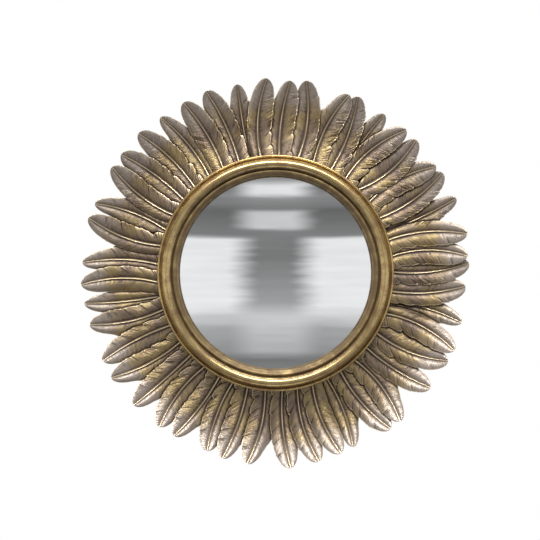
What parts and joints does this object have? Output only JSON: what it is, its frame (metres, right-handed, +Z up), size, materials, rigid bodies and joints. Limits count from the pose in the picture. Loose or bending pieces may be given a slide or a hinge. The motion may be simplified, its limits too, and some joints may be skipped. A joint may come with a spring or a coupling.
{
  "type": "convex butlers mirror",
  "caption": "Round convex wall mirror in a torus moulding with a sunburst of overlapping cast feathers, back board, turn buttons and a hinged D-ring hanger.",
  "frame": {"origin": "on the wall plane behind the mirror, on the axis of the glass", "axes": "+Y from the front of the mirror into the wall, along the axis of the glass; +Z up; +X to the right seen from the front"},
  "size_m": [0.3943, 0.0335, 0.3962],
  "materials": {
    "feather": "cast resin, antique gold leaf with a dark brown wash, rubbed bright on the quills and tips",
    "gilt": "cast resin, burnished antique gold with dark speckles in the hollows",
    "carrier": "fibreboard painted dark brown",
    "mirror_glass": "silvered convex glass",
    "card": "grey-brown card",
    "board": "brown hardboard, smooth face out",
    "fitting": "brass-washed steel"
  },
  "bodies": {
    "root": {"back_board": "board", "base_ring": "carrier", "convex_glass": "mirror_glass", "feather_01_right": "feather", "feather_02_left": "feather", "feather_03_right": "feather", "feather_04_left": "feather", "feather_05_under": "feather", "feather_06_right": "feather", "feather_07_left": "feather", "feather_08_right": "feather", "feather_09_left": "feather", "feather_10_under": "feather", "feather_11_right": "feather", "feather_12_right": "feather", "feather_13_left": "feather", "feather_14_left": "feather", "feather_15_under": "feather", "feather_16_right": "feather", "feather_17_left": "feather", "feather_18_left": "feather", "feather_19_right": "feather", "feather_20_left": "feather", "feather_21_under": "feather", "feather_22_left": "feather", "feather_23_left": "feather", "feather_24_left": "feather", "feather_25_right": "feather", "feather_26_right": "feather", "feather_27_left": "feather", "feather_28_right": "feather", "feather_29_left": "feather", "feather_30_right": "feather", "feather_31_right": "feather", "feather_32_left": "feather", "feather_33_right": "feather", "feather_34_under": "feather", "feather_35_left": "feather", "feather_36_left": "feather", "feather_37_right": "feather", "feather_38_left": "feather", "feather_39_right": "feather", "feather_40_left": "feather", "feather_41_left": "feather", "feather_42_left": "feather", "feather_43_left": "feather", "feather_44_left": "feather", "feather_45_under": "feather", "feather_46_right": "feather", "glass_spacer": "card", "hanger_screw": "fitting", "hanger_strap": "fitting", "rim_moulding": "gilt", "turn_button_screw_1": "fitting", "turn_button_screw_2": "fitting", "turn_button_screw_3": "fitting"},
    "hanger_ring": {"hanger_ring": "fitting"},
    "turn_button_1": {"turn_button_1": "fitting"},
    "turn_button_2": {"turn_button_2": "fitting"},
    "turn_button_3": {"turn_button_3": "fitting"}
  },
  "joints": [
    {"name": "hanger_swing", "type": "hinge", "parent": "root", "child": "hanger_ring", "pos_m": [0, -0.0023, 0.127], "axis": [-1, 0, 0], "range_deg": [0, 160]},
    {"name": "button_turn_1", "type": "hinge", "parent": "root", "child": "turn_button_1", "pos_m": [0.10132, -0.0037, 0.0585], "axis": [0, 1, 0], "continuous": true},
    {"name": "button_turn_2", "type": "hinge", "parent": "root", "child": "turn_button_2", "pos_m": [0, -0.0037, -0.117], "axis": [0, 1, 0], "continuous": true},
    {"name": "button_turn_3", "type": "hinge", "parent": "root", "child": "turn_button_3", "pos_m": [-0.10132, -0.0037, 0.0585], "axis": [0, 1, 0], "continuous": true}
  ]
}
